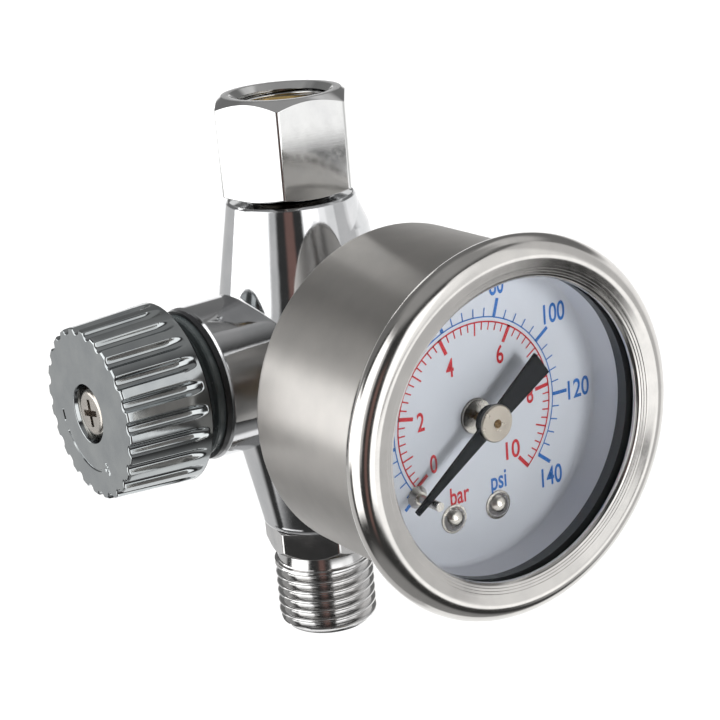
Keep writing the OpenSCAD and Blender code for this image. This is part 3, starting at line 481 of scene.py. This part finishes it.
def build_nut():
    turn = math.radians(-6.7)
    angle = hexagon_angles(turn, step_deg=1.0)
    low, top = 59.2, 71.7
    flats, corner_round = 16.0, 0.55
    ring_low, ring_high, ring_groove_r, bore_r = 60.6, 61.6, 5.6, 4.9
    corner = hexagon(angle, flats, turn, corner_round)
    top_r, top_slope = 7.5, 1.5
    low_r, low_slope = 7.84, 2.6
    top_h = top - (corner - top_r) / top_slope
    low_h = low + (corner - low_r) / low_slope
    mouth_r, thread_r = 6.5, 5.72
    mouth_h = top - 0.75
    outside = soften([(bore_r, low), (low_r, low), (corner, low_h), (corner, top_h), (top_r, top),
                      (mouth_r, top), (thread_r + 0.05, mouth_h)],
                     [0, 0.1, 0.22, 0.22, 0.12, 0.08, 0], closed=False, steps=5)
    rows = [(r, h, angle) for r, h in outside]
    # thread cut outwards from the crests, seen in the mouth
    thread_end, thread_rows, thread_cut, thread_start, fade_out = ring_high + 1.2, 150, 0.78, 0.3, 0.5
    for h in np.linspace(mouth_h - 0.05, thread_end, thread_rows):
        fade = np.clip((h - thread_end) / fade_out, 0, 1)
        cut = 1 - ridge(h / THREAD_PITCH + angle / (2 * math.pi) + thread_start)
        rows.append((thread_r + thread_cut * cut * fade, h, angle))
    rows += [(r + 0 * angle, h, angle) for r, h in
             ((thread_r, ring_high), (ring_groove_r, ring_high), (ring_groove_r, ring_low),
              (bore_r, ring_low))]
    verts, faces = skin(on_flow, rows)
    piece = add_mesh("swivel_nut_threaded", verts, faces, "swivel_nut", "chrome_turned", [NUT_CHROME])
    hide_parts("swivel_nut")


# ---------------------------------------------------------------- knob

FLUTES = 24
FLUTE_TURN = math.radians(3.3)


def soft_min(a, b, k):
    h = np.maximum(k - np.abs(a - b), 0) / k
    return np.minimum(a, b) - h * h * k / 4


def flute_wall(angle, crest, depth):
    """Radius of the fluted wall: grooves of a given depth cut into a crest circle."""
    pitch = 2 * math.pi / FLUTES
    off = np.mod(angle - FLUTE_TURN + pitch / 2, pitch) - pitch / 2
    cutter_r, edge_blend = 0.85, 0.22
    centre = crest + cutter_r - depth
    side = np.maximum(cutter_r ** 2 - (centre * np.sin(off)) ** 2, 0)
    groove = centre * np.cos(off) - np.sqrt(side)
    groove = np.where(side > 0, groove, centre)
    return soft_min(crest, groove, edge_blend)


def engraving(r, angle, marks):
    """Depth of the engraved arc with a minus and a plus at its ends; marks are in degrees round the face."""
    half, soft, bar_half, deepest = 0.17, 0.08, 0.75, 0.14
    arc_r, arc_from, arc_to, minus_at, plus_at = marks

    def stroke(offset, reach):
        return np.clip((reach - np.abs(offset)) / soft + 0.5, 0, 1)

    t = np.degrees(np.arctan2(np.cos(angle), np.sin(angle)))
    inside = np.clip((t - arc_from) * 0.6 + 0.5, 0, 1) * np.clip((arc_to - t) * 0.6 + 0.5, 0, 1)
    depth = inside * stroke(r - arc_r, half)
    across = np.radians(t - minus_at) * r
    depth = np.maximum(depth, stroke(across, bar_half) * stroke(r - arc_r, half))
    across = np.radians(t - plus_at) * r
    for u, v in ((across, r - arc_r), (r - arc_r, across)):
        depth = np.maximum(depth, stroke(u, bar_half) * stroke(v, half))
    return deepest * depth


def build_knob():
    points_per_flute = 26
    angle = np.linspace(0, 2 * math.pi, FLUTES * points_per_flute, endpoint=False)
    rear, face = 20.5, 31.5
    rear_r, front_r, bevel, rear_edge = 11.35, 10.65, 0.32, 0.35
    # the grooves start to cut, and reach their full depth
    run_out, full = rear + 0.75, rear + 2.6
    flute_depth, start_lift = 0.62, 0.12
    rows = []
    rows += [(r + 0 * angle, h, angle) for r, h in
             soften([(8.4, rear), (11.0, rear), (rear_r, rear + rear_edge)], [0, 0.2, 0], closed=False)]
    heights = np.concatenate([np.linspace(rear + rear_edge, run_out, 5), np.linspace(run_out, full, 22)[1:],
                              np.linspace(full, face - bevel, 12)[1:]])
    for h in heights:
        crest = rear_r + (front_r - rear_r) * (h - rear) / (face - rear)
        rise = np.clip((h - run_out) / (full - run_out), 0, 1)
        depth = flute_depth * math.sqrt(rise) - start_lift * (1 - rise)
        wall = flute_wall(angle, crest, depth) if rise > 0 else crest + 0 * angle
        rows.append((wall, h, angle))
    wall = rows[-1][0]
    for s in np.linspace(0, math.pi / 2, 6)[1:]:
        rows.append((wall - bevel * (1 - math.cos(s)), face - bevel + bevel * math.sin(s), angle))
    # the face: the fluted edge turns into a circle, then rings run in to the screw's recess
    edge = rows[-1][0]
    marks = (7.1, -104, -30, -14, -120)
    inner, circle_r, face_rows, turn_rate = 4.0, 9.9, 58, 12
    for s in np.linspace(0, 1, face_rows)[1:]:
        ring_r = circle_r + (inner - circle_r) * s
        r = edge + (ring_r - edge) * min(1.0, s * turn_rate)
        rows.append((r, face - engraving(r, angle, marks), angle))
    rows += [(r + 0 * angle, h, angle) for r, h in
             soften([(3.95, face), (3.72, face), (3.32, 29.75), (1.6, 29.7), (1.6, 27.2), (8.4, 27.2)],
                    [0, 0.15, 0.15, 0, 0, 0], closed=False)]
    verts, faces = skin(on_knob, rows)
    piece = add_mesh("knob_fluted", verts, faces, "knob", "chrome_satin", [KNOB_CHROME], sharp_deg=50)
    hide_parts("knob")


# ---------------------------------------------------------------- gauge


def build_bezel():
    roll_r, roll_h, tube, roll_steps = 20.11, 42.19, 2.15, 40
    path = []
    # round the roll from the can to the front, then the lip with its turned lines
    for deg in np.linspace(-88, 105, roll_steps):
        t = math.radians(deg)
        path.append((roll_r + tube * math.cos(t), roll_h + tube * math.sin(t)))
    lines = [(19.0, 44.13), (18.62, 44.05), (18.58, 43.98), (18.3, 43.93), (18.26, 43.86), (18.0, 43.82),
             (17.95, 43.74), (17.72, 43.68), (17.6, 43.55), (17.45, 43.35), (17.45, 42.92)]
    path += lines + [(19.0, 42.92), (20.0, 42.4), (21.3, 42.3), (21.4, 41.2), (20.16, 40.55)]
    radii = [0] * roll_steps + [0.2, 0.05, 0.05, 0.05, 0.05, 0.05, 0.05, 0.08, 0.08, 0.1, 0.05] + [0] * 5
    piece = turned("bezel_rolled", on_gauge, path, radii, "housing", "chrome_turned", [BEZEL_STEEL],
                   segments=320, steps=3, sharp_deg=60)
    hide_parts("gauge_bezel")


def build_can():
    back, front, wall_r, inner_r, hole_r = 20.05, 41.35, 20.1, 19.65, 4.3
    floor_t, flange_r, flange_t = 0.8, 20.9, 0.35
    path = [(hole_r, back), (wall_r, back), (wall_r, front - flange_t), (flange_r, front - flange_t),
            (flange_r, front), (inner_r, front), (inner_r, back + floor_t), (hole_r, back + floor_t)]
    piece = turned("can_brushed", on_gauge, path, [0.1, 0.75, 0.1, 0.05, 0.05, 0.1, 0.2, 0.1], "housing",
                   "brushed_steel", [CAN_STEEL], segments=256, steps=6)
    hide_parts("gauge_case")


def build_dial():
    face, rim, outer, hole_r, plate_t, wall_t = 35.17, 39.6, 18.0, 2.1, 0.5, 0.35
    path = [(hole_r, face - plate_t), (hole_r, face), (outer, face), (outer, rim), (outer + wall_t, rim),
            (outer + wall_t, face - plate_t)]
    piece = turned("dial_plate", on_gauge, path, [0, 0.05, 0.55, 0.1, 0.1, 0.7], "housing", "dial_white",
                   [DIAL_WHITE], segments=256, steps=8)
    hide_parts("dial")


INK_H = 35.2
BAR_ZERO_CLOCK, BAR_STEP = 228.5, 27.0
PSI_PER_BAR = 14.504


def clock_point(clock, r):
    c = np.radians(clock)
    return r * np.sin(c), r * np.cos(c)


class Ink:
    """Flat printed shapes gathered into one piece."""

    letter_boldness = 0.016
    arc_step_deg = 1.2

    def __init__(self):
        self.verts = []
        self.faces = []

    def quad_strip(self, inner, outer):
        base = len(self.verts)
        count = len(inner)
        self.verts += [on_gauge(a, b, INK_H) for a, b in inner] + [on_gauge(a, b, INK_H) for a, b in outer]
        for i in range(count - 1):
            self.faces.append((base + i, base + i + 1, base + count + i + 1, base + count + i))

    def arc(self, r, width, start, end):
        clocks = np.linspace(start, end, max(2, int(abs(end - start) / self.arc_step_deg)))
        self.quad_strip([clock_point(c, r - width / 2) for c in clocks],
                        [clock_point(c, r + width / 2) for c in clocks])

    def tick(self, clock, r_in, r_out, width):
        a, b = clock_point(clock, 1.0)
        across = (b * width / 2, -a * width / 2)
        self.quad_strip([(a * r + across[0], b * r + across[1]) for r in (r_in, r_out)],
                        [(a * r - across[0], b * r - across[1]) for r in (r_in, r_out)])

    def text(self, words, x, y, width, height):
        curve = bpy.data.curves.new("label", "FONT")
        curve.body = words
        curve.offset = self.letter_boldness
        holder = bpy.data.objects.new("label", curve)
        SCENE.collection.objects.link(holder)
        bpy.context.view_layer.update()
        mesh = holder.to_mesh()
        co = np.array([v.co[:2] for v in mesh.vertices])
        low, span = co.min(axis=0), np.ptp(co, axis=0)
        base = len(self.verts)
        for a, b in (co - low) / span - 0.5:
            self.verts.append(on_gauge(x + a * width, y + b * height, INK_H))
        self.faces += [tuple(base + i for i in p.vertices) for p in mesh.polygons]
        holder.to_mesh_clear()
        bpy.data.objects.remove(holder)
        bpy.data.curves.remove(curve)

    def build(self, name, material):
        return add_mesh(name, self.verts, self.faces, "housing", "dial_white", [material], smooth=False)


def build_scale():
    red = Ink()
    red_r, red_line = 11.0, 0.18
    thick_zero = 235.0
    red.arc(red_r, red_line, thick_zero, BAR_ZERO_CLOCK + 270)
    for i in range(2, 51):
        bar = i * 0.2
        clock = BAR_ZERO_CLOCK + BAR_STEP * bar
        if i % 10 == 0:
            red.tick(clock, 9.0, red_r + 0.09, 0.46)
        elif i % 5 == 0:
            red.tick(clock, 9.45, red_r, 0.2)
        else:
            red.tick(clock, 10.05, red_r, 0.17)
    red.tick(thick_zero, 9.0, red_r + 0.09, 0.46)
    digit_w, digit_h = 1.02, 2.25
    for words, x, y, w in (("0", -6.38, -4.12, digit_w), ("2", -7.76, 1.33, digit_w), ("4", -3.21, 6.57, 1.1),
                           ("6", 4.04, 6.43, digit_w), ("8", 8.13, 0.50, digit_w), ("10", 5.14, -5.54, 2.1)):
        red.text(words, x, y, w, digit_h)
    red.text("bar", -3.0, -8.85, 2.75, 2.2)
    red.build("dial_print_red", INK_RED)

    blue = Ink()
    blue_r, blue_line = 11.55, 0.15
    psi_step = BAR_STEP / PSI_PER_BAR
    blue.arc(blue_r, blue_line, BAR_ZERO_CLOCK + 3.0, BAR_ZERO_CLOCK + 140 * psi_step)
    for i in range(1, 36):
        clock = BAR_ZERO_CLOCK + psi_step * 4 * i
        if i % 5 == 0:
            blue.tick(clock, blue_r, 13.75, 0.44)
        else:
            blue.tick(clock, blue_r, 12.6, 0.16)
    blue.tick(BAR_ZERO_CLOCK + 3.0, blue_r, 13.75, 0.44)
    for words, x, y, w in (("20", -15.2, -1.1, 2.1), ("40", -12.5, 8.2, 2.1), ("60", -5.2, 13.9, 2.1),
                           ("80", 4.1, 14.75, 2.1), ("100", 12.38, 9.51, 3.2), ("120", 15.6, -0.60, 3.3),
                           ("140", 10.83, -10.46, 3.15)):
        blue.text(words, x, y, w, 2.4)
    blue.text("psi", 2.78, -9.1, 2.3, 2.9)
    blue.build("dial_print_blue", INK_BLUE)


build_inlet()
build_nut()
build_knob()
build_bezel()
build_can()
build_dial()
build_scale()

# ---------------------------------------------------------------- stage, light and camera


def build_floor():
    size, height = 6.0, -0.035
    mesh = bpy.data.meshes.new("floor")
    mesh.from_pydata([(-size, -size, height), (size, -size, height), (size, size, height),
                      (-size, size, height)], [], [(0, 1, 2, 3)])
    floor = bpy.data.objects.new("floor", mesh)
    SCENE.collection.objects.link(floor)
    m, nt, bsdf = new_material("floor_pale")
    bsdf.inputs["Roughness"].default_value = 0.9
    bsdf.inputs["Specular IOR Level"].default_value = 0.1
    vec = coordinates(nt)
    link(nt, blend_colour(nt, noise(nt, vec, 6, 3), (0.86, 0.86, 0.86), (0.9, 0.9, 0.9)),
         bsdf.inputs["Base Color"])
    # the far floor glows a little, so that it stays as pale as the part under the lamp
    reach = nt.nodes.new("ShaderNodeVectorMath")
    reach.operation = "LENGTH"
    link(nt, vec, reach.inputs[0])
    glow_from, glow_to, glow_level = 0.5, 2.4, 0.92
    glow = math_node(nt, "MULTIPLY", smooth(nt, reach.outputs["Value"], glow_from, glow_to), glow_level)
    bsdf.inputs["Emission Color"].default_value = (1, 1, 1, 1)
    link(nt, glow, bsdf.inputs["Emission Strength"])
    mesh.materials.append(m)
    floor.visible_glossy = False


def area_light(name, position, target, size, power):
    data = bpy.data.lights.new(name, "AREA")
    data.shape = "RECTANGLE"
    data.size, data.size_y = size
    data.energy = power
    lamp = bpy.data.objects.new(name, data)
    lamp.location = position
    lamp.rotation_euler = (Vector(target) - Vector(position)).to_track_quat("-Z", "Y").to_euler()
    # the chrome mirrors the world's panels, not the lamps
    lamp.visible_glossy = False
    SCENE.collection.objects.link(lamp)


CAMERA_AZIMUTH = math.radians(33.73)


def build_world():
    """A dark studio: pale backdrop, a large box on the left and a window on the right."""
    world = bpy.data.worlds.new("studio")
    SCENE.world = world
    world.use_nodes = True
    nt = world.node_tree
    tc = nt.nodes.new("ShaderNodeTexCoord")
    turn = nt.nodes.new("ShaderNodeVectorRotate")
    turn.rotation_type = "Z_AXIS"
    turn.inputs["Angle"].default_value = CAMERA_AZIMUTH
    link(nt, tc.outputs["Generated"], turn.inputs["Vector"])
    split = nt.nodes.new("ShaderNodeSeparateXYZ")
    link(nt, turn.outputs["Vector"], split.inputs["Vector"])
    # degrees round from the front, positive to the right, and degrees above the horizon
    front = math_node(nt, "MULTIPLY", split.outputs["Y"], -1.0)
    around = math_node(nt, "DEGREES", math_node(nt, "ARCTAN2", split.outputs["X"], front))
    above = math_node(nt, "DEGREES", math_node(nt, "ARCSINE", split.outputs["Z"]))
    away = math_node(nt, "ABSOLUTE", around)

    def band(value, low, high, soft):
        rise = smooth(nt, value, low - soft, low + soft)
        fall = smooth(nt, value, high + soft, high - soft)
        return math_node(nt, "MULTIPLY", rise, fall)

    total = None
    # how it is measured, azimuth from, to, softness, elevation from, to, softness, brightness
    panels = (
        # backdrop: greyer on the left, bright behind and on the right, dim above
        (around, -158, -106, 6, -100, 8, 5, 0.60),
        (away, 158, 200, 6, -100, 8, 5, 1.10),
        (around, 106, 158, 6, -100, 12, 5, 1.10),
        (away, 104, 200, 6, 10, 54, 5, 0.15),
        (around, 106, 165, 6, 38, 60, 6, 0.42),
        # box on the left, with a strip beside its middle and a dim edge towards the front
        (around, -88, -40, 3, -36, 50, 6, 2.10),
        (around, -113, -88, 2, -13, 14, 5, 2.60),
        (around, -40, -27, 3, -12, 44, 8, 0.60),
        # window on the right, with a lower sill and a grey wall beside it
        (around, 18, 46, 3, -28, 36, 5, 1.90),
        (around, 46, 78, 3, -29, -14.6, 2.2, 1.45),
        (around, 46, 60, 3, -10.8, 44, 2.2, 1.22),
        (around, 60, 78, 3, -14.6, 44, 1.8, 0.95),
        (around, 78, 106, 4, -38, 44, 6, 0.62),
        # table top and ceiling
        (away, -10, 106, 4, -100, -54, 6, 0.26),
        (away, -10, 200, 4, 54, 100, 10, 0.32),
    )
    for value, a0, a1, a_soft, e0, e1, e_soft, power in panels:
        mask = math_node(nt, "MULTIPLY", band(value, a0, a1, a_soft), band(above, e0, e1, e_soft))
        lit = math_node(nt, "MULTIPLY", mask, float(power))
        total = lit if total is None else math_node(nt, "ADD", total, lit)
    # a faint brown figure stands in the dark gap between the box and the window
    figure = math_node(nt, "MULTIPLY", band(around, -12, 2, 3), band(above, -40, 24, 8))
    figure_tint = (0.17, 0.085, 0.07)
    room = 0.045
    mix = nt.nodes.new("ShaderNodeCombineColor")
    for i, tint in enumerate(figure_tint):
        shade = math_node(nt, "ADD", total, room)
        link(nt, math_node(nt, "ADD", shade, math_node(nt, "MULTIPLY", figure, tint)), mix.inputs[i])
    link(nt, mix.outputs["Color"], nt.nodes["Background"].inputs["Color"])
    # matt surfaces are lit by the lamps alone
    world.cycles_visibility.diffuse = False


def build_camera():
    azimuth = CAMERA_AZIMUTH
    elevation, roll = (math.radians(v) for v in (17.82, -4.75))
    distance, target = 245.01 * MM, Vector((8.46, 0, 34.34)) * MM
    back = Vector((-math.sin(azimuth) * math.cos(elevation), -math.cos(azimuth) * math.cos(elevation),
                   math.sin(elevation)))
    right = (-back).cross(Vector((0, 0, 1))).normalized()
    up = right.cross(-back)
    right_r = right * math.cos(roll) + up * math.sin(roll)
    up_r = up * math.cos(roll) - right * math.sin(roll)
    data = bpy.data.cameras.new("camera")
    data.sensor_width = 36.0
    data.lens = 92.36
    data.clip_start, data.clip_end = 0.01, 20.0
    cam = bpy.data.objects.new("camera", data)
    cam.matrix_world = Matrix.Translation(target + back * distance) @ Matrix(
        (right_r, up_r, back)).transposed().to_4x4()
    SCENE.collection.objects.link(cam)
    SCENE.camera = cam


build_floor()
area_light("key_top", (0.2, 0.9, 1.6), (0.1, 0.5, 0), (3.2, 3.2), 88)
area_light("front_box", (0.10, -0.92, 0.12), (0, 0, 0.035), (0.26, 0.26), 3.6)
build_world()
build_camera()
SCENE.view_settings.view_transform = "Standard"
